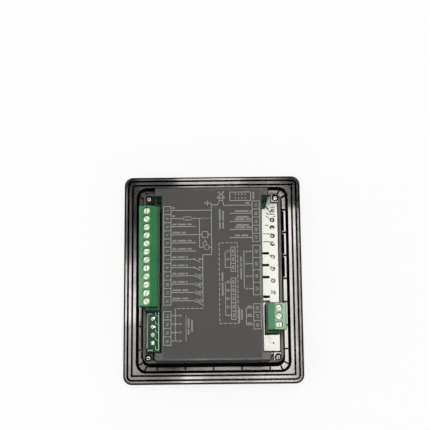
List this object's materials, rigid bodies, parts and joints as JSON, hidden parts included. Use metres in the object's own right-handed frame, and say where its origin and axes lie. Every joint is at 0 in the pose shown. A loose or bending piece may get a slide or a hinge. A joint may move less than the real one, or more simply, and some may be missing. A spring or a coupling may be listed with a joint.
{
  "type": "genset controller",
  "caption": "Panel-mounted generating-set controller with a gloss bezel, raised wiring deck, pluggable green terminals at its sides, and a display with sprung keys on its front.",
  "frame": {"origin": "middle of the front rim's plane, with the controller lying on its front", "axes": "+Z out of the back, +Y towards the top of the wiring diagram, +X to the short plug's side"},
  "size_m": [0.1146, 0.134, 0.0432],
  "materials": {
    "frame_black": "gloss moulding",
    "housing_black": "fine satin moulding",
    "film_grey": "matt printed film",
    "pane_clear": "clear pane",
    "display_metal": "plated sheet",
    "display_glass": "display glass",
    "backlight_white": "diffusing plastic",
    "board_green": "solder mask over laminate",
    "plug_green": "satin terminal plastic",
    "header_green": "satin terminal plastic",
    "screw_nickel": "nickel plate",
    "pad_tin": "tinned copper",
    "case_steel": "zinc plate",
    "relay_shell": "moulded shell",
    "sleeve_dark": "shrunk sleeve",
    "chip_black": "moulded epoxy",
    "key_red": "matt keypad rubber",
    "key_green": "matt keypad rubber",
    "key_grey": "matt keypad rubber",
    "lamp_amber": "clear tinted resin"
  },
  "bodies": {
    "controller": {"front_frame": "frame_black", "rear_housing": "housing_black", "case_screws": "case_steel", "front_film": "film_grey", "display_window": "pane_clear", "lcd_frame": "display_metal", "lcd_glass": "display_glass", "lcd_backlight": "backlight_white", "display_board": "board_green", "display_screws": "case_steel", "key_switches": "chip_black", "status_lamps": "lamp_amber", "main_board": "board_green", "board_screws": "case_steel", "board_pads": "pad_tin", "header_left": "header_green", "pins_left": "pad_tin", "header_right": "header_green", "pins_right": "pad_tin", "relays": "relay_shell", "capacitors": "sleeve_dark", "processor": "chip_black", "power_coil": "chip_black", "link_header": "chip_black", "link_socket": "chip_black"},
    "key_stop": {"key_stop": "key_red"},
    "key_manual": {"key_manual": "key_grey"},
    "key_auto": {"key_auto": "key_grey"},
    "key_start": {"key_start": "key_green"},
    "key_up": {"key_up": "key_grey"},
    "key_down": {"key_down": "key_grey"},
    "plug_left": {"plug_left": "plug_green", "clamps_left": "screw_nickel", "clamp_screws_left": "screw_nickel"},
    "plug_right": {"plug_right": "plug_green", "clamps_right": "screw_nickel", "clamp_screws_right": "screw_nickel"}
  },
  "joints": [
    {"name": "key_stop_press", "type": "slide", "parent": "controller", "child": "key_stop", "axis": [0, 0, 1], "range_m": [0, 0.0008], "stiffness_N_per_m": 1500},
    {"name": "key_manual_press", "type": "slide", "parent": "controller", "child": "key_manual", "axis": [0, 0, 1], "range_m": [0, 0.0008], "stiffness_N_per_m": 1500},
    {"name": "key_auto_press", "type": "slide", "parent": "controller", "child": "key_auto", "axis": [0, 0, 1], "range_m": [0, 0.0008], "stiffness_N_per_m": 1500},
    {"name": "key_start_press", "type": "slide", "parent": "controller", "child": "key_start", "axis": [0, 0, 1], "range_m": [0, 0.0008], "stiffness_N_per_m": 1500},
    {"name": "key_up_press", "type": "slide", "parent": "controller", "child": "key_up", "axis": [0, 0, 1], "range_m": [0, 0.0008], "stiffness_N_per_m": 1500},
    {"name": "key_down_press", "type": "slide", "parent": "controller", "child": "key_down", "axis": [0, 0, 1], "range_m": [0, 0.0008], "stiffness_N_per_m": 1500},
    {"name": "plug_left_pull", "type": "slide", "parent": "controller", "child": "plug_left", "axis": [0, 0, 1], "range_m": [0, 0.012]},
    {"name": "plug_right_pull", "type": "slide", "parent": "controller", "child": "plug_right", "axis": [0, 0, 1], "range_m": [0, 0.012]}
  ]
}
